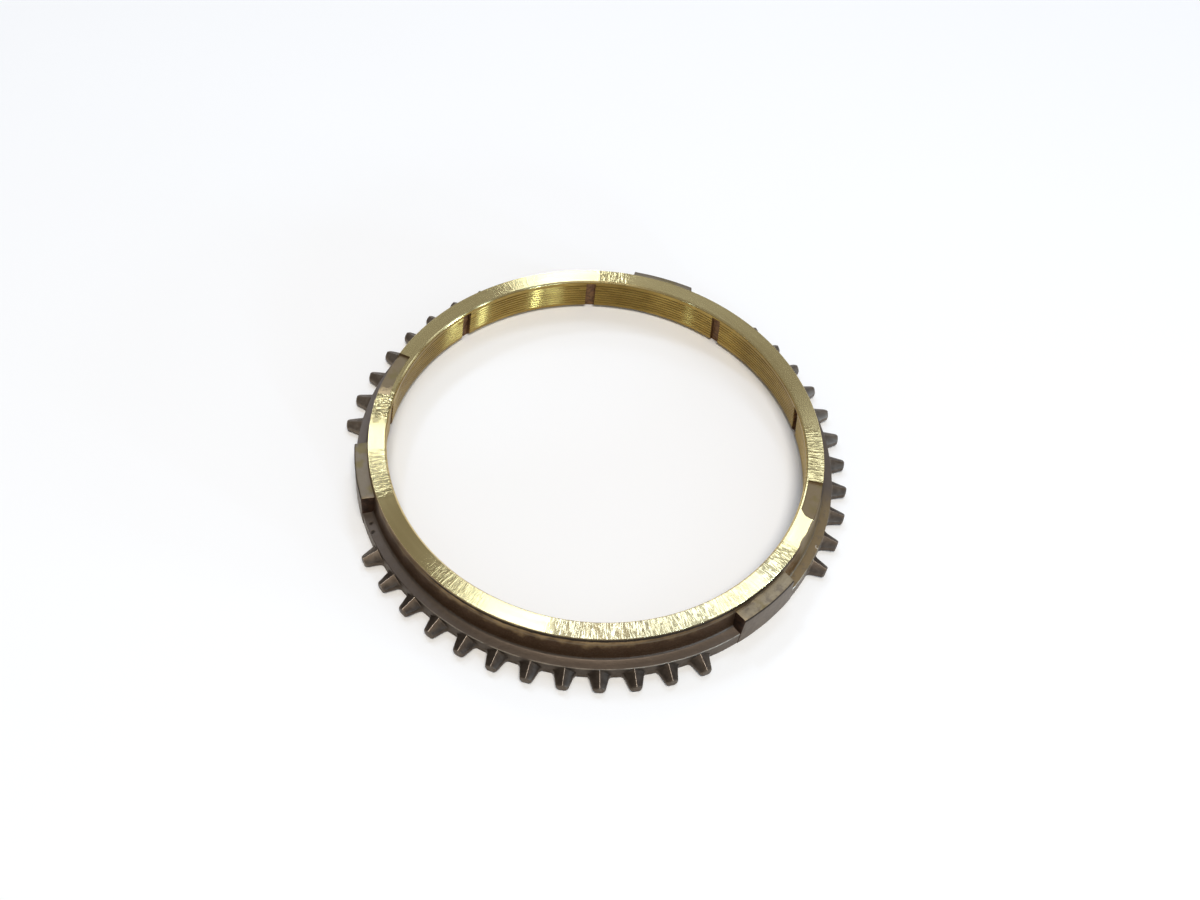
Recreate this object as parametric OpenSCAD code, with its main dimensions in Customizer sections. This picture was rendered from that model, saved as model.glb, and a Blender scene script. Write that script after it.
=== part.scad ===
// Synchronizer ring: one forged and machined brass blocking ring, with a turned top face, a tapered
// friction bore with oil slots, three locating lugs and three runs of roof-pointed teeth.
// Sizes in millimetres. The ring lies on its gear side: z = 0 is that face and +Z points to the hub.
// The ring axis is the Z axis, and one lug is centred on +Y.

/* [Collar] */
// Outer diameter of the turned top face
collar_d = 88; // [78:1:110]
// Height from the gear-side face to the turned top face
ring_h = 9; // [8.5:0.1:11]
// Radial width of the turned top face
face_w = 3.1; // [2.7:0.05:3.6]
// How far the forged outer wall leans out on its way down to the ledge
wall_lean = 0.75; // [0.3:0.05:1.2]
// Radius in the corner between the outer wall and the ledge
ledge_fillet = 0.5; // [0.3:0.05:0.8]

/* [Bore] */
// Half angle of the tapered friction bore, in degrees
cone_angle = 7; // [3:0.5:8]
// Chamfer between the top face and the bore
bore_chamfer = 0.38; // [0.1:0.02:0.6]
// Chamfer at the wide mouth of the bore
mouth_chamfer = 0.9; // [0.4:0.1:1.4]
// Oil slots from one lug to the next
slots_per_lug = 3; // [1:1:5]
// Width of an oil slot
slot_w = 2; // [1:0.1:3.5]
// Depth of an oil slot below the bore
slot_depth = 0.9; // [0.4:0.1:1.4]
// Distance from the top face down to the closed end of a slot
slot_start = 0.7; // [0.6:0.1:3]

/* [Flange] */
// Reach of the flange beyond the outer edge of the top face
flange_w = 2.8; // [2.4:0.1:4]
// Depth of the flange ledge below the top face
ledge_drop = 5.8; // [5.2:0.1:6.3]
// Fall of the ledge from its inner to its outer edge
ledge_fall = 0.15; // [0.05:0.05:0.3]
// How far the edge of the flange leans out on its way down
rim_lean = 0.15; // [0.05:0.05:0.3]
// Chamfer along the lower edge of the flange
rim_chamfer = 0.2; // [0.1:0.05:0.6]

/* [Lugs] */
// Locating lugs round the ring
lug_count = 3; // [2:1:4]
// Width of a lug at its top
lug_w = 12.8; // [9:0.2:15]
// Depth of a lug's top below the top face
lug_drop = 1.75; // [1.2:0.05:4]
// Lean of the two ends of a lug, in degrees
lug_draft = 6; // [2:1:10]
// How far the outer wall of a lug leans in on its way up
lug_lean = 0.35; // [0.15:0.05:1]
// Chamfer along the outer top edge of a lug
lug_chamfer = 0.25; // [0.1:0.05:0.5]

/* [Teeth] */
// Tooth places from one lug to the next, counting those left bare
places_per_lug = 16; // [13:1:18]
// Tooth places left bare at each lug
bare_places = 4; // [4:1:7]
// Reach of a tooth beyond the flange
tooth_reach = 3.1; // [2:0.1:4.5]
// Width of a tooth where it leaves the flange
tooth_root_w = 3.8; // [2.8:0.1:4]
// Width of a tooth at its tip
tooth_tip_w = 2.1; // [1.2:0.1:2.6]
// Angle between the two roof faces of a tooth, in degrees
roof_angle = 112; // [95:1:130]
// Start of the roof ridge below the edge of the flange
ridge_drop = 0.15; // [0.15:0.05:0.4]
// Fall of the roof ridge from the flange to the tip
ridge_fall = 0.75; // [0.3:0.05:0.9]
// Radius in the corner between a tooth and the flange
tooth_fillet = 0.6; // [0.3:0.05:0.7]
// Height of the underside of a tooth above the gear-side face
tooth_lift = 0.25; // [0.05:0.05:0.5]

/* [Marking pads] */
// Depth of the two shallow pads in the top face
pad_depth = 0.6; // [0.3:0.05:1]
// Width of the strip of top face left inside a pad
pad_lip = 0.75; // [0.5:0.05:1.4]
// Bearing of the square end of the sloping pad, in degrees
sloping_pad_start = 173.3; // [160:0.1:185]
// Length of the sloping pad, in degrees
sloping_pad_span = 14.4; // [8:0.2:20]
// Bearing at which the level pad starts, in degrees
level_pad_start = -5.4; // [-15:0.1:5]
// Length of the level pad, in degrees
level_pad_span = 11; // [6:0.5:18]

/* [Hidden] */
// Round surfaces
$fn = 180;
// Straight pieces in a filleted corner
fillet_steps = 4;
// How far a cutting or joining shape runs past the surface it meets
margin = 1;
// Bearing of the first lug
first_lug = 90;
// How far a lug stands out from the edge of the flange
lug_proud = 0.1;
// How far the root fillets of a tooth sink into the flange
fillet_sink = 0.04;

// Radii of the collar and the bore
collar_r = collar_d / 2;
face_inner_r = collar_r - face_w;
cone_small_r = face_inner_r - bore_chamfer;
cone_h = ring_h - bore_chamfer - mouth_chamfer;
cone_big_r = cone_small_r + cone_h * tan(cone_angle);
mouth_r = cone_big_r + mouth_chamfer;

// Flange ledge and rim
ledge_z = ring_h - ledge_drop;
rim_r = collar_r + flange_w;
rim_z = ledge_z - ledge_fall;
rim_foot_r = rim_r + rim_lean;
wall_foot_r = collar_r + wall_lean;
wall_angle = atan(wall_lean / ledge_drop);
ledge_angle = atan(ledge_fall / (rim_r - wall_foot_r));

// The corner arc touches the wall, turned by wall_angle, and the ledge, turned by ledge_angle
corner_turn = 90 - wall_angle - ledge_angle;
corner_cut = ledge_fillet * tan(corner_turn / 2);
corner_r = wall_foot_r + corner_cut * cos(ledge_angle) + ledge_fillet * sin(ledge_angle);
corner_z = ledge_z - corner_cut * sin(ledge_angle) + ledge_fillet * cos(ledge_angle);

// Lug heights and widths
lug_top = ring_h - lug_drop;
lug_foot_r = rim_foot_r + lug_proud;
lug_top_r = lug_foot_r - lug_lean;
lug_top_half = lug_w / 2;
lug_foot_half = lug_top_half + lug_top * tan(lug_draft);
lug_step = 360 / lug_count;

// Tooth places and the plan of one tooth
tooth_pitch = lug_step / places_per_lug;
teeth_per_lug = places_per_lug - bare_places;
first_tooth = (bare_places + 1) / 2 * tooth_pitch;
tip_r = rim_r + tooth_reach;
root_half = tooth_root_w / 2;
tip_half = tooth_tip_w / 2;
flank_slope = (root_half - tip_half) / tooth_reach;
flank_angle = atan(flank_slope);
foot_half = root_half + tooth_fillet;
foot_r = rim_r + rim_lean / 2;
foot_x = sqrt(foot_r * foot_r - foot_half * foot_half) - fillet_sink;
fillet_x = foot_x + tooth_fillet;
fillet_y = root_half + tooth_fillet / cos(flank_angle) - flank_slope * (fillet_x - rim_r);
root_x = rim_r - margin / 2;

// Roof of one tooth
ridge_angle = atan(ridge_fall / tooth_reach);
roof_half = fillet_y + margin;
roof_side = roof_half / tan(roof_angle / 2);

// Oil slots
slot_count = lug_count * slots_per_lug;
slot_step = 360 / slot_count;
slot_run = (ring_h - slot_start - mouth_chamfer) / cos(cone_angle);

// Marking pads
lip_r = face_inner_r + pad_lip;
pad_floor = ring_h - pad_depth;
sloping_pad_run = collar_r * sin(sloping_pad_span);

// Points of an arc about [x, y], from one bearing to another
function arc_points(x, y, r, from, to) =
    [for (i = [0 : fillet_steps]) let (a = from + (to - from) * i / fillet_steps)
        [x + r * cos(a), y + r * sin(a)]];

// Points mirrored in the first axis, in reverse order
function mirrored(points) =
    [for (i = [len(points) - 1 : -1 : 0]) [points[i][0], -points[i][1]]];

// Section of the ring without lugs and teeth
module ring_section() {
    polygon(concat(
        [[mouth_r, 0],
         [rim_foot_r - rim_chamfer, 0],
         [rim_foot_r, rim_chamfer],
         [rim_r, rim_z]],
        arc_points(corner_r, corner_z, ledge_fillet, 270 - ledge_angle, 180 + wall_angle),
        [[collar_r, ring_h],
         [face_inner_r, ring_h],
         [cone_small_r, ring_h - bore_chamfer],
         [cone_big_r, mouth_chamfer]]
    ));
}

// Section through a lug, reaching into the collar
module lug_section() {
    polygon([
        [collar_r - margin, 0],
        [lug_foot_r - rim_chamfer, 0],
        [lug_foot_r, rim_chamfer],
        [lug_top_r, lug_top - lug_chamfer],
        [lug_top_r - lug_chamfer, lug_top],
        [collar_r - margin, lug_top]
    ]);
}

// One lug, out along +X
module lug() {
    intersection() {
        rotate_extrude()
            lug_section();
        rotate([90, 0, 90])
            linear_extrude(height = lug_foot_r + margin)
                polygon([
                    [-lug_foot_half, 0],
                    [lug_foot_half, 0],
                    [lug_top_half, lug_top],
                    [-lug_top_half, lug_top]
                ]);
    }
}

// Plan of one tooth, out along +X, with its filleted roots
module tooth_plan() {
    side = concat(
        [[root_x, fillet_y]],
        arc_points(fillet_x, fillet_y, tooth_fillet, 180, 270 - flank_angle),
        [[tip_r, tip_half]]
    );
    polygon(concat(side, mirrored(side)));
}

// One tooth, out along +X: its plan under a roof whose ridge falls to the tip
module tooth() {
    intersection() {
        translate([0, 0, tooth_lift])
            linear_extrude(height = ring_h)
                tooth_plan();
        translate([rim_r, 0, rim_z - ridge_drop])
            rotate([0, ridge_angle, 0])
                rotate([90, 0, 90])
                    translate([0, 0, -margin])
                        linear_extrude(height = tooth_reach + 3 * margin)
                            polygon([
                                [0, 0],
                                [-roof_half, -roof_side],
                                [-roof_half, -ring_h],
                                [roof_half, -ring_h],
                                [roof_half, -roof_side]
                            ]);
    }
}

// One oil slot along the bore at +X, closed at the top and open at the mouth
module slot() {
    translate([cone_big_r, 0, mouth_chamfer])
        rotate([0, -cone_angle, 0])
            translate([-2 * margin, -slot_w / 2, -3 * margin])
                cube([2 * margin + slot_depth, slot_w, slot_run + 3 * margin]);
}

// Pad whose floor rises from a square end to the top face
module sloping_pad() {
    difference() {
        rotate([0, 0, sloping_pad_start])
            translate([0, 0, pad_floor])
                rotate([atan(pad_depth / sloping_pad_run), 0, 0])
                    cube([collar_r + margin, sloping_pad_run + margin, pad_depth + margin]);
        cylinder(h = 2 * ring_h, r = lip_r);
    }
}

// Pad with a level floor
module level_pad() {
    rotate([0, 0, level_pad_start])
        rotate_extrude(angle = level_pad_span)
            translate([lip_r, pad_floor])
                square([face_w + margin, pad_depth + margin]);
}

module synchronizer_ring() {
    color("#a58a4c")
        difference() {
            union() {
                rotate_extrude()
                    ring_section();
                for (l = [0 : lug_count - 1])
                    rotate([0, 0, first_lug + l * lug_step]) {
                        lug();
                        for (t = [0 : teeth_per_lug - 1])
                            rotate([0, 0, first_tooth + t * tooth_pitch])
                                tooth();
                    }
            }
            for (s = [0 : slot_count - 1])
                rotate([0, 0, first_lug + (s + 0.5) * slot_step])
                    slot();
            sloping_pad();
            level_pad();
        }
}

synchronizer_ring();
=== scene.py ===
import math

import bmesh
import bpy
from mathutils import Matrix, Vector, noise


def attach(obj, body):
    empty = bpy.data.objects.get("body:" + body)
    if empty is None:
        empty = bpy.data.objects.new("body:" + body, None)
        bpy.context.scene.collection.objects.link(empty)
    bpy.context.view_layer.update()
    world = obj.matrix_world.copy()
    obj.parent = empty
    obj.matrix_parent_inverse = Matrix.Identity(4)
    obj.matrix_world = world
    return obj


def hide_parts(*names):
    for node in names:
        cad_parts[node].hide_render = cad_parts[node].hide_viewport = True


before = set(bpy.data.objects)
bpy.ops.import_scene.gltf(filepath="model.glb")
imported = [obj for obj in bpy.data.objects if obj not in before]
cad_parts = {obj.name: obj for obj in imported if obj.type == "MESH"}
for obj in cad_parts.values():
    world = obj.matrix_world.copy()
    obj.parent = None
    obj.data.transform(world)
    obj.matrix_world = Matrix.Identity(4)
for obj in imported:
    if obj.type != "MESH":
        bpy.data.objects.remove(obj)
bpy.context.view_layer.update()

scene = bpy.context.scene
scene.view_settings.view_transform = "Standard"

# camera, from the photograph
photo = {
    "width": 1200,
    "height": 900,
    "focalPixels": 1206.7,
    "distance": 0.23355,        # from the middle of the turned face, metres
    "faceHeight": 0.009,
    "azimuth": 282.67,
    "elevation": 53.06,
    "roll": 6.584,
    "middlePixel": (598.47, 434.19),
}


# unit vector from the middle of the ring towards an azimuth and elevation
def wayTo(azimuth, elevation):
    a, e = math.radians(azimuth), math.radians(elevation)
    return Vector((math.cos(e) * math.cos(a), math.cos(e) * math.sin(a), math.sin(e)))


def makeCamera():
    back, t = wayTo(photo["azimuth"], photo["elevation"]), math.radians(photo["roll"])
    right = wayTo(photo["azimuth"] + 90, 0)
    up = back.cross(right)
    turnedRight = math.cos(t) * right + math.sin(t) * up
    turnedUp = math.cos(t) * up - math.sin(t) * right
    data = bpy.data.cameras.new("photoCamera")
    data.lens = data.sensor_width * photo["focalPixels"] / photo["width"]
    data.shift_x = (photo["width"] / 2 - photo["middlePixel"][0]) / photo["width"]
    data.shift_y = (photo["middlePixel"][1] - photo["height"] / 2) / photo["width"]
    data.clip_start, data.clip_end = 0.005, 20
    camera = bpy.data.objects.new("photoCamera", data)
    scene.collection.objects.link(camera)
    place = Matrix((turnedRight, turnedUp, back)).transposed().to_4x4()
    place.translation = Vector((0, 0, photo["faceHeight"])) + back * photo["distance"]
    camera.matrix_world = place
    scene.camera = camera
    print("camera made")


# shader maths: a Wire is one output socket, and operators on it add Math nodes
class Wire:
    def __init__(self, finish, socket):
        self.finish, self.socket = finish, socket

    def maths(self, operation, *others):
        return self.finish.node("ShaderNodeMath", {"operation": operation}, dict(enumerate((self,) + others)))

    def swapped(self, operation, other):
        return self.finish.node("ShaderNodeMath", {"operation": operation}, {0: other, 1: self})

    def __add__(self, other): return self.maths("ADD", other)
    def __radd__(self, other): return self.swapped("ADD", other)
    def __sub__(self, other): return self.maths("SUBTRACT", other)
    def __rsub__(self, other): return self.swapped("SUBTRACT", other)
    def __mul__(self, other): return self.maths("MULTIPLY", other)
    def __rmul__(self, other): return self.swapped("MULTIPLY", other)
    def __truediv__(self, other): return self.maths("DIVIDE", other)
    def __pow__(self, other): return self.maths("POWER", other)
    def __abs__(self): return self.maths("ABSOLUTE")
    def larger(self, other): return self.maths("MAXIMUM", other)
    def smaller(self, other): return self.maths("MINIMUM", other)


class Finish:
    def __init__(self, name, **constants):
        self.material = bpy.data.materials.new(name)
        self.material.use_nodes = True
        self.tree = self.material.node_tree
        self.shader = self.tree.nodes["Principled BSDF"]
        for socket, value in constants.items():
            self.shader.inputs[socket.replace("_", " ")].default_value = value
        place = self.node("ShaderNodeTexCoord", out="Object")
        self.place = self.node("ShaderNodeMapping", {}, {"Vector": place, "Scale": (1000, 1000, 1000)})  # now in mm
        self.x, self.y, self.z = (self.node("ShaderNodeSeparateXYZ", {}, {0: self.place}, out=k) for k in range(3))
        self.radius = (self.x * self.x + self.y * self.y) ** 0.5
        self.angle = self.y.maths("ARCTAN2", self.x) * (180 / math.pi)

    # one node: its settings first, then the values or links of its sockets
    def node(self, kind, settings=None, sockets=None, out=0):
        made = self.tree.nodes.new(kind)
        for key, value in (settings or {}).items():
            setattr(made, key, value)
        for key, value in (sockets or {}).items():
            if isinstance(value, Wire):
                self.tree.links.new(value.socket, made.inputs[key])
            else:
                made.inputs[key].default_value = value
        return Wire(self, made.outputs[out])

    def feed(self, **wires):
        for socket, wire in wires.items():
            self.tree.links.new(wire.socket, self.shader.inputs[socket.replace("_", " ")])

    def vector(self, x, y, z):
        return self.node("ShaderNodeCombineXYZ", {}, {0: x, 1: y, 2: z})

    def grain(self, scale, detail=3.0, rough=0.55, place=None, warp=0.0):
        return self.node("ShaderNodeTexNoise", {"noise_dimensions": "3D"},
                         {"Vector": place or self.place, "Scale": scale, "Detail": detail,
                          "Roughness": rough, "Distortion": warp})

    def span(self, value, low, high, start=0.0, end=1.0):
        return self.node("ShaderNodeMapRange", {"interpolation_type": "SMOOTHSTEP"},
                         {0: value, 1: low, 2: high, 3: start, 4: end})

    def mix(self, share, first, second, way="MIX"):
        return self.node("ShaderNodeMix", {"data_type": "RGBA", "blend_type": way},
                         {0: share, 6: first, 7: second}, out=2)

    # distance in mm
    def bump(self, height, strength, distance, under=None):
        sockets = {"Height": height, "Strength": strength, "Distance": distance * 0.001}
        if under:
            sockets["Normal"] = under
        return self.node("ShaderNodeBump", {}, sockets)

    # 1 inside a stretch of the ring round azimuth middle, fading over the soft degrees at each end
    def stretch(self, middle, half, soft):
        away = self.node("ShaderNodeMath", {"operation": "WRAP"}, {0: self.angle - middle, 1: 180.0, 2: -180.0})
        return self.span(abs(away), half, half + soft, 1.0, 0.0)

    # distance from one spot on the piece
    def gap(self, x, y, z):
        return self.node("ShaderNodeVectorMath", {"operation": "DISTANCE"},
                         {0: self.place, 1: (x, y, z)}, out="Value")

    # the strongest of several shares
    def strongest(self, shares):
        most, *others = shares
        for share in others:
            most = most.larger(share)
        return most


def colour(red, green, blue):
    def straight(v):
        v = v / 255
        return v / 12.92 if v <= 0.04045 else ((v + 0.055) / 1.055) ** 2.4
    return (straight(red), straight(green), straight(blue), 1.0)


# lathe-turned metal spreads its highlights along the turning
brushed = {"Anisotropic": 0.93, "Anisotropic_Rotation": 0.25}

# turned brass of the hub-side face, its chamfer and the gear side
turned = {
    "pale": colour(240, 217, 154),
    "olive": colour(228, 204, 142),
    "line": colour(96, 82, 52),
    "paintedSheen": colour(236, 221, 180),
    "rough": 0.18,
    # textures: rate round the ring and across it per mm, shift, detail, warp
    "streak": (2.1, 0.3, 0.0, 1.5, 0.4), "crumb": (1.8, 0.9, 3.0, 2, 0.4), "crumple": (1.25, 0.4, 0.0, 2, 0.8),
    "ripple": (0.04, 4.5, 0.0, 2, 0.0),         # the tool's own fine rings
    "lineShare": 0.75, "sheenShare": 0.6, "creaseRise": 3.6,
    "markDepth": 0.055, "rippleDepth": 0.02,    # mm
    # marks across the turning: azimuth, half width, fade, strength
    "chatter": ((289, 8, 7, 1.5), (304, 9, 8, 0.7), (319, 6, 8, 0.35), (251, 4, 10, 0.2), (213, 5, 4, 0.7),
                (203, 7, 5, 0.1), (13, 7, 5, 0.6), (103.5, 3.5, 1.5, 1.2), (133, 6, 6, 0.12), (338, 4, 4, 0.8)),
    "marksAll": 0.025,
    "creased": (191.5, 4, 2), "nearSide": (300, 30, 15),
}


def turnedBrass():
    f = Finish("turned_brass", Metallic=1.0, **brushed)
    arc = f.angle * math.radians(ring["collarRadius"])

    def texture(name):
        rate, width, shift, detail, warp = turned[name]
        return f.grain(1.0, detail, 0.5, f.vector(arc * rate, f.radius * width, shift), warp)

    streak, crumb, ripple, crumple = (texture(k) for k in ("streak", "crumb", "ripple", "crumple"))
    cloud = f.grain(1.0, 3, 0.5, f.vector(arc * 0.05, f.radius * 0.5, f.z * 0.2))
    chatter = [f.stretch(*part) * strength for *part, strength in turned["chatter"]]
    marks = f.strongest(chatter).larger(turned["marksAll"])
    fullMarks, creased, broken = marks.smaller(1.0), f.stretch(*turned["creased"]), f.span(crumb, 0.34, 0.48)
    lines = f.span(abs(streak - 0.5), 0.11, 0.03) * broken * fullMarks
    lines = lines.larger(f.span(abs(crumple - 0.5), 0.08, 0.02) * broken * creased)
    tone = f.mix(f.span(cloud, 0.35, 0.65), turned["pale"], turned["olive"])
    # painted highlight: on the near side the marks are paled towards a cream grey, as if lit
    sheen = fullMarks * f.stretch(*turned["nearSide"]) * turned["sheenShare"]
    tone = f.mix(sheen, tone, turned["paintedSheen"])
    relief = (streak * 0.85 + crumb * 0.15) * marks + crumple * creased * turned["creaseRise"]
    marked = f.bump(relief - lines * 0.15, 1.0, turned["markDepth"])
    f.feed(
        Base_Color=f.mix(lines * turned["lineShare"], tone, turned["line"]),
        Roughness=turned["rough"] + (cloud - 0.5) * 0.04 + lines * 0.1 + (ripple - 0.5) * 0.04,
        Normal=f.bump(ripple, 0.1, turned["rippleDepth"], marked),
    )
    return f.material


# golden bore: plain land, thread and mouth
bore = {
    "gold": colour(168, 142, 76),
    "brown": colour(148, 122, 62),
    # painted shade: three stretches of the bore are darkened by this tone
    "boreShadeTone": (0.7, 0.68, 0.65, 1.0),
    "boreShade": ((44, 12, 10), (103, 9, 6), (171, 9, 8)),   # azimuth, half width, fade
    "rough": 0.2,
    "radius": 41,
    "stain": (0.2, 0.6, 3), "fine": (0.06, 1.6, 2),     # rate round the ring and up it per mm, detail
}


def boreBrass():
    f = Finish("bore_brass", Metallic=1.0, **brushed)
    arc = f.angle * math.radians(bore["radius"])

    def texture(name):
        rate, rise, detail = bore[name]
        return f.grain(1.0, detail, 0.5, f.vector(arc * rate, f.z * rise, 0.0))

    stain, fine = texture("stain"), texture("fine")
    tone = f.mix(f.span(stain, 0.3, 0.7), bore["gold"], bore["brown"])
    # painted shade in three stretches round the bore
    boreShade = f.strongest(f.stretch(*part) for part in bore["boreShade"])
    f.feed(
        Base_Color=f.mix(boreShade, tone, bore["boreShadeTone"], "MULTIPLY"),
        Roughness=bore["rough"] + (stain - 0.5) * 0.04 + (fine - 0.5) * 0.04,
        Normal=f.bump(fine, 0.06, 0.03),
    )
    return f.material


# forged skin of the wall, ledge, rim, lugs and teeth
forged = {
    "brown": colour(120, 108, 95), "dark": colour(102, 90, 78),
    "wall": colour(68, 45, 25), "wallSheen": colour(168, 139, 97), "wallTopShadow": colour(34, 23, 12),
    "ledge": colour(108, 96, 85), "sun": colour(138, 118, 86), "stain": colour(106, 74, 34),
    "lugTop": colour(130, 116, 96), "lugSun": colour(160, 145, 118), "lugShadowLine": colour(44, 32, 22),
    "padFloor": colour(134, 115, 86), "padFade": colour(212, 184, 138), "olive": colour(126, 110, 66),
    "tip": colour(128, 115, 100), "edgeHighlight": colour(196, 182, 160),
    "shadeTone": (0.4, 0.37, 0.35, 1.0),
    "rough": 0.5,
    # stretches of the ring: azimuth, half width, fade
    "paleSide": (352, 10, 9), "edgeHighlightSide": (296, 40, 18), "wallLit": (273, 14, 24), "wallShadowSide": (294, 44, 14),
    "sunLug": (330, 9, 3), "stained": (342.5, 2.5, 2.5),
    "shade": (272, 30, 30, 0.82), "rightTeeth": (358, 20, 14, 0.62),    # and strength
    "nick": (352.4, 46.55, 3.05), "nickReach": 0.36,                    # azimuth, radius, height
    "pits": ((221.7, 46.0, 3.1, 0.3), (224.0, 46.2, 3.1, 0.24)),        # and reach
    "rimLine": (46.76, 3.0),                                            # radius, height
}
# where a part of the skin begins and where it is full, as a radius, height or azimuth
zones = {
    "wallIn": (44.95, 44.75), "wallUp": (3.3, 3.6), "wallSheen": (6.3, 8.5), "wallTopShadow": (7.95, 8.2),
    "ledgeOut": (44.75, 44.95), "ledgeEnd": (46.9, 46.8), "ledgeUp": (2.7, 2.9), "ledgeDown": (3.45, 3.3),
    "lugUp": (7.05, 7.15), "lugOut": (44.15, 44.3),
    "lugLineOut": (46.5, 46.58), "lugLineUp": (6.66, 6.8), "lugLineDown": (7.24, 7.18),
    "padUp": (8.2, 8.35), "padIn": (44.06, 43.98), "padFade": (184.6, 186.8),
    "toothOut": (46.95, 47.2), "tipOut": (49.55, 49.72),
}


def spotPlace(azimuth, radius, z):
    a = math.radians(azimuth)
    return radius * math.cos(a), radius * math.sin(a), z


def forgedSkin():
    f = Finish("forged_skin", Metallic=0.9)
    cloud = f.grain(0.3, 3, 0.5)
    mottle = f.grain(0.9, 3, 0.55, warp=0.3)
    fine = f.grain(4.5, 3, 0.6)

    def out(name):
        return f.span(f.radius, *zones[name])

    def up(name, height=f.z):
        return f.span(height, *zones[name])

    def along(name):
        return f.stretch(*forged[name][:3])

    wall = out("wallIn") * up("wallUp")
    # painted reflection: a lighter band on the upper part of the wall
    high = up("wallSheen", f.z + (cloud - 0.5) * 4.5 + (mottle - 0.5) * 1.6) * wall
    ledge = up("ledgeDown") * out("ledgeOut") * out("ledgeEnd") * up("ledgeUp")
    lugTop = up("lugUp") * out("lugOut")
    # painted shadow: a thin dark line just under the lug's outer top edge
    lugShadowLine = out("lugLineOut") * up("lugLineUp") * up("lugLineDown")
    padFloor = up("padUp") * out("padIn")
    # painted highlight: a thin pale line along the rim's upper edge, on the near side
    rimRadius, rimHeight = forged["rimLine"]
    rimLine = f.span(abs(f.radius - rimRadius), 0.12, 0.04) * f.span(abs(f.z - rimHeight), 0.12, 0.05)
    edgeHighlight = rimLine * along("edgeHighlightSide") * f.span(cloud, 0.3, 0.55)

    tone = f.mix(f.span(mottle, 0.35, 0.68), forged["dark"], forged["brown"])
    tone = f.mix(ledge, tone, forged["ledge"])
    tone = f.mix(wall, tone, forged["wall"])
    # the painted reflection band is strongest in the near-side stretch
    tone = f.mix(high * (0.4 + 0.45 * along("wallLit")), tone, forged["wallSheen"])
    paleSide = along("paleSide") * wall.larger(ledge) * f.span(mottle, 0.3, 0.5, 0.6, 1.0)
    tone = f.mix(paleSide, tone, forged["sun"])
    tone = f.mix(along("stained") * wall * f.span(mottle, 0.3, 0.55), tone, forged["stain"])
    # painted shadow: a dark line just under the face's outer edge, on the near side
    wallShadowLine = up("wallTopShadow", f.z + (mottle - 0.5) * 0.5) * wall * along("wallShadowSide")
    tone = f.mix(wallShadowLine, tone, forged["wallTopShadow"])
    tone = f.mix(lugTop, tone, forged["lugTop"])
    tone = f.mix(lugTop * along("sunLug") * f.span(mottle, 0.3, 0.6), tone, forged["lugSun"])
    tone = f.mix(padFloor, tone, forged["padFloor"])
    fading = f.span(f.angle.maths("WRAP", 360.0, 0.0) + (mottle - 0.5) * 6, *zones["padFade"])
    padEnd = fading * f.span(f.x, 0.0, -1.0) * padFloor
    tone = f.mix(padEnd, tone, forged["padFade"])
    tone = f.mix(f.span(cloud, 0.5, 0.66) * lugTop.larger(padFloor) * 0.7, tone, forged["olive"])
    tone = f.mix(lugShadowLine, tone, forged["lugShadowLine"])
    tone = f.mix(out("tipOut"), tone, forged["tip"])

    # the nick is a painted highlight on a notch's lit edges: an open curve, a ring round its spot, kept on one side
    # only
    turn = math.radians(forged["nick"][0])
    curve = f.span(abs(f.gap(*spotPlace(*forged["nick"])) - forged["nickReach"]), 0.15, 0.06)
    nick = curve * f.span(f.y * math.cos(turn) - f.x * math.sin(turn), 0.3, 0.1)
    tone = f.mix(edgeHighlight.larger(nick), tone, forged["edgeHighlight"])
    rough = (mottle - 0.5) * 0.9
    pits = f.strongest(f.span(f.gap(*spotPlace(*spot)) + rough, reach, reach + 0.2, 1.0, 0.0)
                       for *spot, reach in forged["pits"])
    # the pits take the dark colour of the painted shadow line
    tone = f.mix(pits * 0.8, tone, forged["wallTopShadow"])
    tone = f.mix(f.span(fine, 0.35, 0.75) * 0.18, tone, forged["lugTop"])
    nearShade = along("shade") * forged["shade"][3] * (1.0 - wall) * (1.0 - ledge * 0.3)
    toothShade = along("rightTeeth") * forged["rightTeeth"][3] * out("toothOut")
    dented = f.bump(mottle * (1.0 + padEnd * 2.0) - pits * 0.8 + nick * 0.4, 0.3, 0.14)
    f.feed(
        Base_Color=f.mix(nearShade.larger(toothShade), tone, forged["shadeTone"], "MULTIPLY"),
        Roughness=forged["rough"] + (mottle - 0.5) * 0.2 + (fine - 0.5) * 0.15 - edgeHighlight * 0.12,
        Normal=f.bump(fine, 0.22, 0.05, dented),
    )
    return f.material


# plainer skins: floor of an oil slot, painted highlight on a tooth's ridge, painted shade on the ends of a lug
plainSkins = {
    "slot_skin": {"metal": 0.6, "dark": colour(88, 58, 34), "pale": colour(132, 96, 58), "rough": 0.5,
                  "grain": (1.4, 4, 0.6), "fade": (0.35, 0.65), "bump": (0.4, 0.08)},
    "ridge_highlight": {"metal": 1.0, "dark": colour(120, 108, 96), "pale": colour(172, 158, 144), "rough": 0.4,
                  "grain": (1.6, 3, 0.6), "fade": (0.3, 0.62), "bump": (0.2, 0.05)},
    "lug_end_shade": {"metal": 0.75, "dark": colour(44, 29, 19), "pale": colour(68, 46, 31), "rough": 0.5,
                   "grain": (0.8, 4, 0.6), "fade": (0.35, 0.65), "bump": (0.3, 0.1)},
}


def plainSkin(name):
    skin = plainSkins[name]
    f = Finish(name, Metallic=skin["metal"])
    stain = f.grain(*skin["grain"])
    f.feed(
        Base_Color=f.mix(f.span(stain, *skin["fade"]), skin["dark"], skin["pale"]),
        Roughness=skin["rough"] + (stain - 0.5) * 0.2,
        Normal=f.bump(stain, *skin["bump"]),
    )
    return f.material


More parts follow.
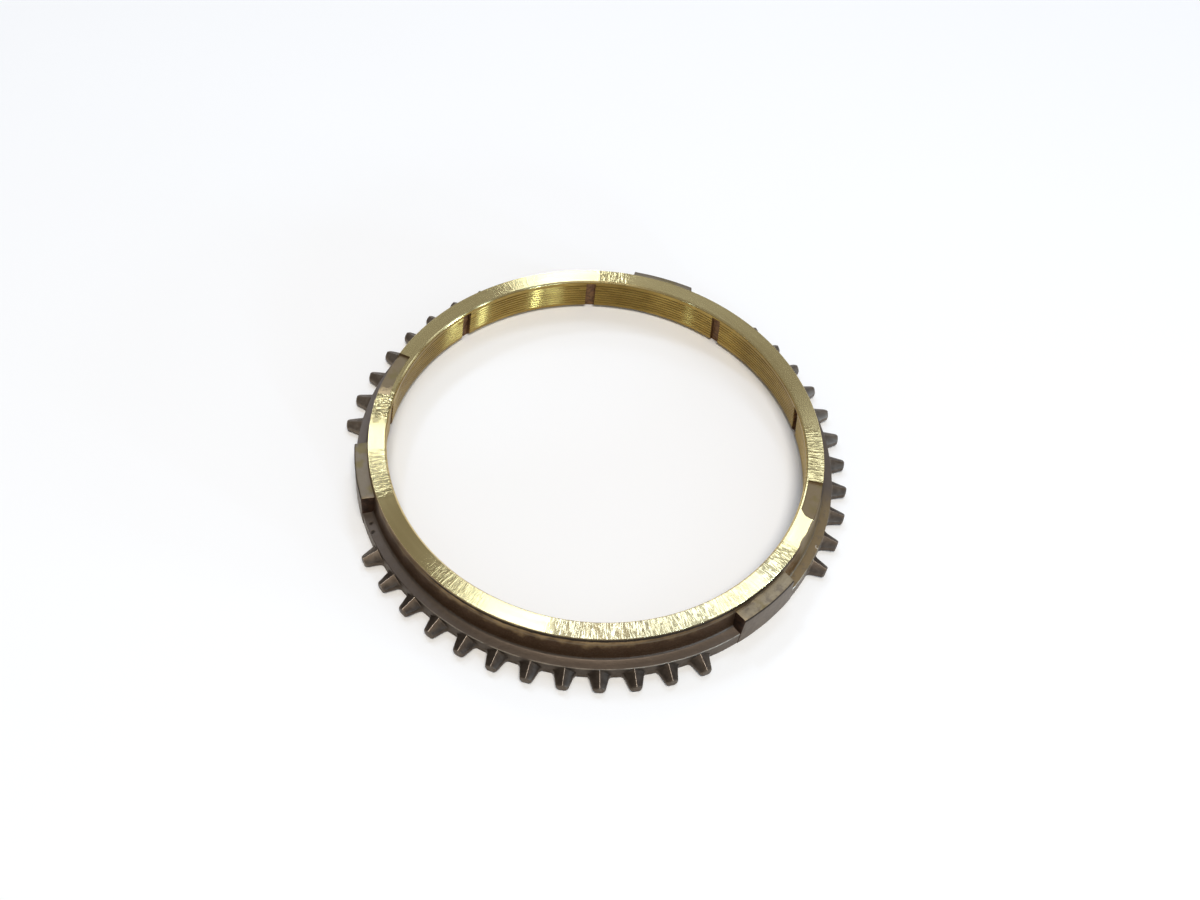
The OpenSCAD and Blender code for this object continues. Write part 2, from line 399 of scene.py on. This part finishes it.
# the ring's section, in mm: z 0 is the gear side, +z the hub side
ring = {
    "columns": 288,
    "height": 9.0,
    "collarRadius": 44.0, "wallLean": 0.75, "faceIn": 40.9, "lip": 41.65, "lipStep": 0.3, "edgeBreak": 0.06,
    "ledgeDrop": 5.8, "ledgeFall": 0.15, "ledgeFillet": 0.5,
    "rimRadius": 46.8, "rimLean": 0.15, "rimBreak": 0.09, "baseBreak": 0.2, "baseIn": 0.05,
    "coneTop": (40.52, 8.62), "mouth": (41.468, 0.9), "mouthFoot": 42.368, "chamferBreak": (0.08, 0.07),
    # rows between the edges: radii on the two flat faces, heights on the wall
    "faceRows": (42.4, 43.2), "baseRow": 44.6, "wallRows": (8.4, 5.8, 4.4),
    "filletShares": (1.0, 0.55, 0.22, 0.0), "filletCurve": 1.6,
    "ledgeRow": (46.0, 0.08),                   # radius, fall
    "rimOut": (0.01, 0.07, 0.13), "rimRow": 1.5,
    "edgeDent": (346, 11, 0.45),                # uneven outer edge of the face: azimuth, reach, depth
    "dentRate": 0.31, "dentLift": 0.3,
    "forgingWave": 0.03, "waveRate": 0.45,
    "sharpOver": 32,                            # degrees
}
thread = {"top": 7.78, "pitch": 0.8, "width": 0.45, "depth": 0.225, "flank": 0.423, "turns": 8}
slots = {"count": 9, "first": 30, "width": 2.0, "depth": 0.9, "top": 8.3, "footUnder": 0.3}
lugs = {"azimuths": (90, 210, 330), "top": 7.25, "halfWidth": 6.4, "draft": 6, "radius": 46.7, "lean": 0.35,
        "columns": 7, "edge": 0.22, "sharpOver": 40,
        # where each row of the section goes: radius and fall across the top, then height down the side
        "across": {"wallA": (45.1, 0.0), "wallB": (46.0, 0.0), "fillet0": (46.42, 0.0), "fillet1": (46.58, 0.04),
                   "fillet2": (46.67, 0.13)},
        "down": {"fillet3": 6.95, "ledgeA": 5.0, "ledgeB": 3.4, "rimEdge": 2.9, "rimMid": 1.5, "rimLow": 0.3,
                 "rimFoot": 0.2}}
teeth = {"first": 18.75, "pitch": 7.5, "run": 12, "tip": 49.9, "tipHalf": 1.05, "rootHalf": 1.9, "roof": 34,
         "ridge": 2.9, "ridgeFall": 0.75, "lift": 0.25, "lowRow": 0.05,
         "edge": 0.12, "sharpOver": 45, "ridgeEdge": 0.06, "ridgeOver": 28,
         # roundings: end corners in plan, long edges of the roof, lower edges
         "nose": 0.36, "noseSteps": 4, "brow": 0.2, "foot": 0.3, "footRise": 0.4,
         # filleted root: how far out from the rim, and how much wider than the plain flank
         "root": ((0.02, 0.62), (0.05, 0.37), (0.2, 0.155), (0.4, 0.036), (0.62, 0.0)), "rootRoom": 0.66}
# the bend turns the pad's first end row by row, in degrees, from the lip out to the wall
pads = ({"from": 173.3, "to": 187.7, "depth": 0.6, "fades": True, "lip": 41.65, "bend": (0.0,) * 7},
        {"from": -5.4, "to": 5.6, "depth": 0.6, "fades": False, "lip": 41.15,
         "bend": (1.2, 0.0, -0.45, -0.65, -0.7, -0.7, -0.7)})
faceTurned, faceBore, faceForged, faceSlot, faceRidgeHighlight, faceLugEndShade = range(6)
toothKind, lugKind, slotKind, padKind = 1, 2, 3, 4


def wallRadius(z):
    return ring["collarRadius"] + ring["wallLean"] * (ring["height"] - z) / ring["ledgeDrop"]


def coneRadius(z):
    (topR, topZ), (mouthR, mouthZ) = ring["coneTop"], ring["mouth"]
    return mouthR + (topR - mouthR) * (z - mouthZ) / (topZ - mouthZ)


def lugHalf(z):
    return lugs["halfWidth"] + (lugs["top"] - z) * math.tan(math.radians(lugs["draft"]))


def lugRadius(z):
    return lugs["radius"] + lugs["lean"] * (lugs["top"] - z) / lugs["top"]


# rows of the section, round from the bore's top edge: name, radius, height, finish of the strip after it
def ringSection():
    top, ledge = ring["height"], ring["height"] - ring["ledgeDrop"]
    collar, rim, fillet = ring["collarRadius"], ring["rimRadius"], ring["ledgeFillet"]
    faceA, faceB = ring["faceRows"]
    rows = [("faceIn", ring["faceIn"], top, faceTurned), ("lip", ring["lip"], top, faceTurned),
            ("lipSide", ring["lip"] + ring["lipStep"], top, faceTurned),
            ("faceA", faceA, top, faceTurned), ("faceB", faceB, top, faceTurned),
            ("faceOut", collar - ring["edgeBreak"], top, faceTurned),
            ("faceEdge", collar, top - ring["edgeBreak"], faceForged)]
    padFoot, wallA, wallB = ring["wallRows"]
    for name, z in (("wallPad", padFoot), ("wallLug", lugs["top"]), ("wallA", wallA), ("wallB", wallB)):
        rows.append((name, wallRadius(z), z, faceForged))
    foot, curve = wallRadius(ledge), ring["filletCurve"]
    for k, share in enumerate(ring["filletShares"]):
        rows.append((f"fillet{k}", foot + fillet * (1 - share) ** curve, ledge + fillet * share ** curve, faceForged))
    ledgeRadius, ledgeFall = ring["ledgeRow"]
    rimTop, (edgeOut, midOut, lowOut) = ledge - ring["ledgeFall"], ring["rimOut"]
    rows += [("ledgeA", ledgeRadius, ledge - ledgeFall, faceForged),
             ("ledgeB", rim - ring["rimBreak"], rimTop, faceForged),
             ("rimEdge", rim + edgeOut, rimTop - ring["rimBreak"], faceForged),
             ("rimMid", rim + midOut, ring["rimRow"], faceForged),
             ("rimLow", rim + lowOut, teeth["lift"] + teeth["lowRow"], faceForged),
             ("rimFoot", rim + ring["rimLean"], ring["baseBreak"], faceForged),
             ("baseOut", rim - ring["baseIn"], 0.0, faceTurned), ("baseMid", ring["baseRow"], 0.0, faceTurned),
             ("baseIn", ring["mouthFoot"], 0.0, faceBore), ("mouth", *ring["mouth"], faceBore)]
    half = thread["width"] / 2
    for k in reversed(range(thread["turns"])):
        z = thread["top"] - k * thread["pitch"] - half
        rows += [(f"groove{k}Low", coneRadius(z - half), z - half, faceBore),
                 (f"groove{k}", coneRadius(z) + thread["depth"], z - half + thread["flank"], faceBore),
                 (f"groove{k}High", coneRadius(z + half), z + half, faceBore)]
    (topR, topZ), (under, over) = ring["coneTop"], ring["chamferBreak"]
    rows += [("slotTop", coneRadius(slots["top"]), slots["top"], faceBore),
             ("coneTop", coneRadius(topZ - under), topZ - under, faceBore),
             ("chamfer", topR + over, topZ + over, faceTurned)]
    return rows


# a vertex goes to a radius and height, off to one side of a feature's middle line
def putBeside(vert, azimuth, radius, side, z):
    a, along = math.radians(azimuth), math.sqrt(radius * radius - side * side)
    vert.co = (along * math.cos(a) - side * math.sin(a), along * math.sin(a) + side * math.cos(a), z)


def flatRadius(vert):
    return math.hypot(vert.co.x, vert.co.y)


def makeRing():
    bm = bmesh.new()
    rowOf, columnOf, kindOf = (bm.verts.layers.int.new(k) for k in ("row", "column", "kind"))
    section = ringSection()
    names = [s[0] for s in section]
    step = 360 / ring["columns"]
    start = []
    for k, (_, r, z, _) in enumerate(section):
        start.append(bm.verts.new((r, 0, z)))
        start[-1][rowOf] = k
    loop = [bm.edges.new((start[k], start[(k + 1) % len(start)])) for k in range(len(start))]
    bmesh.ops.spin(bm, geom=start + loop, axis=(0, 0, 1), angle=2 * math.pi, steps=ring["columns"], use_merge=True)

    verts, faces = {}, {}
    for v in bm.verts:
        v[columnOf] = round(math.degrees(math.atan2(v.co.y, v.co.x)) / step) % ring["columns"]
        verts[v[columnOf], v[rowOf]] = v
    for f in bm.faces:
        columns, rows = sorted({v[columnOf] for v in f.verts}), sorted({v[rowOf] for v in f.verts})
        column = columns[0] if columns[1] - columns[0] == 1 else columns[1]
        row = rows[0] if rows[1] - rows[0] == 1 else rows[1]
        faces[column, row] = f
        f.material_index = section[row][3]
    print("section spun:", len(bm.faces), "faces")

    def rowsFrom(first, last):
        return range(names.index(first), names.index(last) + 1)

    # uneven outer edge of the face
    azimuth, reach, depth = ring["edgeDent"]
    for (column, row), v in verts.items():
        away = abs((column * step - azimuth + 180) % 360 - 180) / reach
        if names[row] in ("faceOut", "faceEdge") and away < 1:
            rise = noise.noise((column * step * ring["dentRate"], 0.5, 0.0)) + ring["dentLift"]
            dent = depth * (1 - away) * max(0.0, rise)
            putBeside(v, column * step, flatRadius(v) - dent, 0.0, v.co.z)

    def block(firstColumn, lastColumn, rows):
        return [faces[c % ring["columns"], r] for c in range(firstColumn, lastColumn) for r in rows[:-1]]

    # draws the faces out into a form of their own; place moves each new vertex
    def drawOut(region, kind, place, skin=None, sides=None):
        edges = dict.fromkeys(e for f in region for e in f.edges)     # each once, in a fixed order
        corners = dict.fromkeys(v for f in region for v in f.verts)
        made = bmesh.ops.extrude_face_region(bm, geom=[*region, *edges, *corners])["geom"]
        bmesh.ops.delete(bm, geom=[f for f in region if f.is_valid], context="FACES")
        newVerts = [g for g in made if isinstance(g, bmesh.types.BMVert)]
        newFaces = [g for g in made if isinstance(g, bmesh.types.BMFace)]
        for v in newVerts:
            v[kindOf] = kind
            place(v)
        for f in dict.fromkeys(f for v in newVerts for f in v.link_faces):
            mark = skin if f in newFaces else sides
            if mark is not None:
                f.material_index = mark
        return newFaces

    # oil slots
    slotRows = rowsFrom("baseIn", "slotTop")
    for k in range(slots["count"]):
        azimuth = slots["first"] + k * 360 / slots["count"]
        middle = round(azimuth / step)
        for side in (-1, 1):
            for row in slotRows:
                v = verts[(middle + side) % ring["columns"], row]
                putBeside(v, azimuth, flatRadius(v), side * slots["width"] / 2, v.co.z)

        def sinkSlot(v):
            side = (v[columnOf] - middle) * slots["width"] / 2
            radius = coneRadius(v.co.z) + slots["depth"]
            if v.co.z < slots["footUnder"]:
                radius = min(radius, ring["mouthFoot"])
            putBeside(v, azimuth, radius, side, v.co.z)

        drawOut(block(middle - 1, middle + 1, slotRows), slotKind, sinkSlot, faceSlot, faceSlot)
    print("slots cut:", slots["count"])

    # marking pads, left bare
    padRows = rowsFrom("lip", "wallPad")
    for pad in pads:
        first, last = round(pad["from"] / step), round(pad["to"] / step)
        for column in range(first, last + 1):
            v = verts[column % ring["columns"], padRows[0]]
            putBeside(v, column * step, pad["lip"], 0.0, v.co.z)
        for row, bend in zip(padRows, pad["bend"]):
            for column, azimuth in ((first, pad["from"] + bend), (last, pad["to"])):
                v = verts[column % ring["columns"], row]
                putBeside(v, azimuth, flatRadius(v), 0.0, v.co.z)

        def sinkPad(v):
            name = names[v[rowOf]]
            if name == "wallPad":
                return
            azimuth, depth, radius = math.degrees(math.atan2(v.co.y, v.co.x)), pad["depth"], flatRadius(v)
            if pad["fades"]:
                depth *= max(0.0, 1 - (azimuth - pad["from"]) % 360 / (pad["to"] - pad["from"]))
            if name in ("faceOut", "faceEdge"):     # the edge follows the leaning wall down
                radius += wallRadius(ring["height"] - depth) - ring["collarRadius"]
            putBeside(v, azimuth, radius, 0.0, v.co.z - depth)

        drawOut(block(first, last, padRows), padKind, sinkPad, faceForged, faceForged)
    print("pads sunk:", len(pads))

    # lugs, drawn out of the wall, ledge and rim
    lugRows = rowsFrom("wallLug", "baseOut")
    lugPath = {name: (radius, lugs["top"] - fall) for name, (radius, fall) in lugs["across"].items()}
    lugPath.update((name, (lugRadius(z), z)) for name, z in lugs["down"].items())
    reach = lugs["columns"]
    for azimuth in lugs["azimuths"]:
        middle = round(azimuth / step)
        for side in (-reach, reach):
            for row in lugRows:
                v = verts[(middle + side) % ring["columns"], row]
                putBeside(v, azimuth, flatRadius(v), math.copysign(lugHalf(v.co.z), side), v.co.z)

        def raiseLug(v):
            name = names[v[rowOf]]
            if name in lugPath:
                radius, z = lugPath[name]
                putBeside(v, azimuth, radius, (v[columnOf] - middle) / reach * lugHalf(z), z)

        # painted shade: the lugs' end faces get a dark skin
        drawOut(block(middle - reach, middle + reach, lugRows), lugKind, raiseLug, None, faceLugEndShade)
    print("lugs raised:", len(lugs["azimuths"]))

    # blocking teeth, drawn out of the rim in steps that make the filleted root and the roof
    toothRows = rowsFrom("rimEdge", "rimLow")
    rim, halfTurn = ring["rimRadius"] + ring["rimOut"][1], ring["columns"] // 2
    length, slope = teeth["tip"] - rim, math.tan(math.radians(teeth["roof"]))
    taper, room = (teeth["rootHalf"] - teeth["tipHalf"]) / length, teeth["rootHalf"] + teeth["rootRoom"]
    stations = [(out, teeth["rootHalf"] - taper * out + wider) for out, wider in teeth["root"]]
    for k in range(teeth["noseSteps"] + 1):
        turn = math.pi / 2 * k / teeth["noseSteps"]
        out = length - teeth["nose"] * (1 - math.sin(turn))
        stations.append((out, teeth["rootHalf"] - taper * out - teeth["nose"] * (1 - math.cos(turn))))
    for lug in lugs["azimuths"]:
        for k in range(teeth["run"]):
            azimuth = lug + teeth["first"] + k * teeth["pitch"]
            middle = round(azimuth / step)
            for side in (-2, -1, 1, 2):
                for row in toothRows:
                    v = verts[(middle + side) % ring["columns"], row]
                    putBeside(v, azimuth, flatRadius(v), side / 2 * room, v.co.z)
            region = block(middle - 2, middle + 2, toothRows)
            for out, half in stations:
                ridge = teeth["ridge"] - teeth["ridgeFall"] * out / length

                def drawTooth(v):
                    place = (v[columnOf] - middle + halfTurn) % ring["columns"] - halfTurn
                    level, outer = toothRows.index(v[rowOf]), abs(place) == 2
                    side = (0, half - teeth["brow"], half)[abs(place)]
                    roof = ridge - side * slope - outer * teeth["brow"]
                    z = (roof, teeth["lift"] + teeth["footRise"], teeth["lift"])[level]
                    if outer and level == 2:
                        side -= teeth["foot"] * out / length
                    putBeside(v, azimuth, rim + out, math.copysign(side, place), z)

                region = drawOut(region, toothKind, drawTooth)
    print("teeth drawn:", teeth["run"] * len(lugs["azimuths"]))

    bmesh.ops.remove_doubles(bm, verts=bm.verts, dist=0.003)
    bmesh.ops.dissolve_degenerate(bm, edges=bm.edges, dist=0.001)
    bmesh.ops.recalc_face_normals(bm, faces=bm.faces)

    # eased edges on the teeth and lugs
    def sharpEdges(kind, least):
        return [e for e in bm.edges if len(e.link_faces) == 2 and all(v[kindOf] == kind for v in e.verts)
                and e.calc_face_angle() > math.radians(least)]

    def ease(edges, width):
        return bmesh.ops.bevel(bm, geom=edges, offset=width, offset_type="OFFSET", affect="EDGES", segments=2,
                               profile=0.5, material=-1, clamp_overlap=True)["faces"]

    ridgeRow, ridgeColumn = names.index("rimEdge"), round((lugs["azimuths"][0] + teeth["first"]) / step)
    pitchColumns = round(teeth["pitch"] / step)

    def onRidge(e):
        return all(v[rowOf] == ridgeRow and (v[columnOf] - ridgeColumn) % pitchColumns == 0 for v in e.verts)

    ease([e for e in sharpEdges(toothKind, teeth["sharpOver"]) if not onRidge(e)], teeth["edge"])
    ridges = [e for e in sharpEdges(toothKind, teeth["ridgeOver"]) if onRidge(e)]
    # painted highlight: the eased ridges of the teeth get a pale skin
    for f in ease(ridges, teeth["ridgeEdge"]):
        f.material_index = faceRidgeHighlight
    print("ridges eased:", len(ridges))
    ease(sharpEdges(lugKind, lugs["sharpOver"]), lugs["edge"])
    print("edges eased")

    # a little unevenness left by the forging
    bm.normal_update()
    skinOnly = [v for v in bm.verts if all(f.material_index == faceForged for f in v.link_faces)]
    for v in skinOnly:
        v.co += v.normal * ring["forgingWave"] * noise.noise(v.co * ring["waveRate"])

    for name in ("row", "column", "kind"):
        bm.verts.layers.int.remove(bm.verts.layers.int[name])
    bmesh.ops.scale(bm, vec=(0.001, 0.001, 0.001), verts=bm.verts)
    for f in bm.faces:
        f.smooth = True
    mesh = bpy.data.meshes.new("synchronizerRing")
    bm.to_mesh(mesh)
    openEdges = sum(1 for e in bm.edges if len(e.link_faces) != 2)
    bm.free()
    mesh.set_sharp_from_angle(angle=math.radians(ring["sharpOver"]))
    # in the order of the face numbers
    for skin in (turnedBrass(), boreBrass(), forgedSkin(), *map(plainSkin, plainSkins)):
        mesh.materials.append(skin)
    piece = bpy.data.objects.new("synchronizerRing", mesh)
    scene.collection.objects.link(piece)
    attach(piece, "root")
    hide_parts("synchronizer_ring")
    print("ring made:", len(mesh.polygons), "faces,", openEdges, "open edges")


# pale floor and soft studio light
studio = {
    "floor": colour(254, 252, 248), "floorPale": colour(255, 254, 251),
    "floorReach": 3.0,
    "sky": (0.25, 0.25, 0.255, 1.0),
    "warm": (1.0, 0.955, 0.89), "cool": (0.62, 0.76, 1.0), "cold": (0.48, 0.7, 1.0), "even": (1.0, 1.0, 1.0),
    # name, tint, azimuth, elevation, distance, width, height, power
    "lights": (
        ("frontTop", "warm", 298, 73, 1.2, 0.5, 0.5, 8.6),
        ("lowRightA", "cool", 16, 26, 1.2, 0.24, 0.24, 0.32),
        ("lowRightB", "cool", 32, 18, 1.2, 0.24, 0.24, 0.32),
        ("frontStrip", "even", 285, 10, 1.5, 1.5, 0.35, 0.5),
        ("lowFrontA", "cold", 320, 10, 1.0, 0.06, 0.1, 1.4),
        ("lowFrontB", "cold", 346.7, 7, 1.0, 0.06, 0.1, 1.4),
        ("lowFrontC", "cold", 2, 7, 1.0, 0.16, 0.1, 2.4),
        ("lowFrontD", "cold", 246.3, 10, 1.0, 0.05, 0.1, 0.2),
        ("lowFrontE", "cold", 312, 10, 1.0, 0.16, 0.1, 0.7),
        ("backLow", "cool", 107.8, 38.8, 1.2, 0.163, 0.163, 0.84),
        ("backHigh", "cool", 113.5, 68, 1.2, 0.221, 0.221, 0.9),
        ("backLeft", "cool", 138, 49.7, 1.2, 0.157, 0.157, 1.54),
        ("backRight", "cool", 80.8, 59.4, 1.2, 0.346, 0.346, 1.17),
    ),
}


def makeStudio():
    bm = bmesh.new()
    bmesh.ops.create_grid(bm, x_segments=1, y_segments=1, size=studio["floorReach"])
    mesh = bpy.data.meshes.new("floor")
    bm.to_mesh(mesh)
    bm.free()
    floor = bpy.data.objects.new("floor", mesh)
    scene.collection.objects.link(floor)
    f = Finish("pale_floor", Roughness=0.7, Specular_IOR_Level=0.1)
    patches = f.span(f.grain(0.01), 0.3, 0.7) * 0.3
    f.feed(Base_Color=f.mix(patches, studio["floor"], studio["floorPale"]))
    mesh.materials.append(f.material)

    world = bpy.data.worlds.new("softRoom")
    world.use_nodes = True
    world.node_tree.nodes["Background"].inputs["Color"].default_value = studio["sky"]
    scene.world = world
    for name, tint, azimuth, elevation, distance, width, height, power in studio["lights"]:
        way = wayTo(azimuth, elevation)
        data = bpy.data.lights.new(name, "AREA")
        data.shape, data.size, data.size_y, data.energy, data.color = "ELLIPSE", width, height, power, studio[tint]
        light = bpy.data.objects.new(name, data)
        scene.collection.objects.link(light)
        light.location = way * distance
        light.rotation_euler = way.to_track_quat("Z", "Y").to_euler()
    print("studio lit")


makeCamera()
makeRing()
makeStudio()
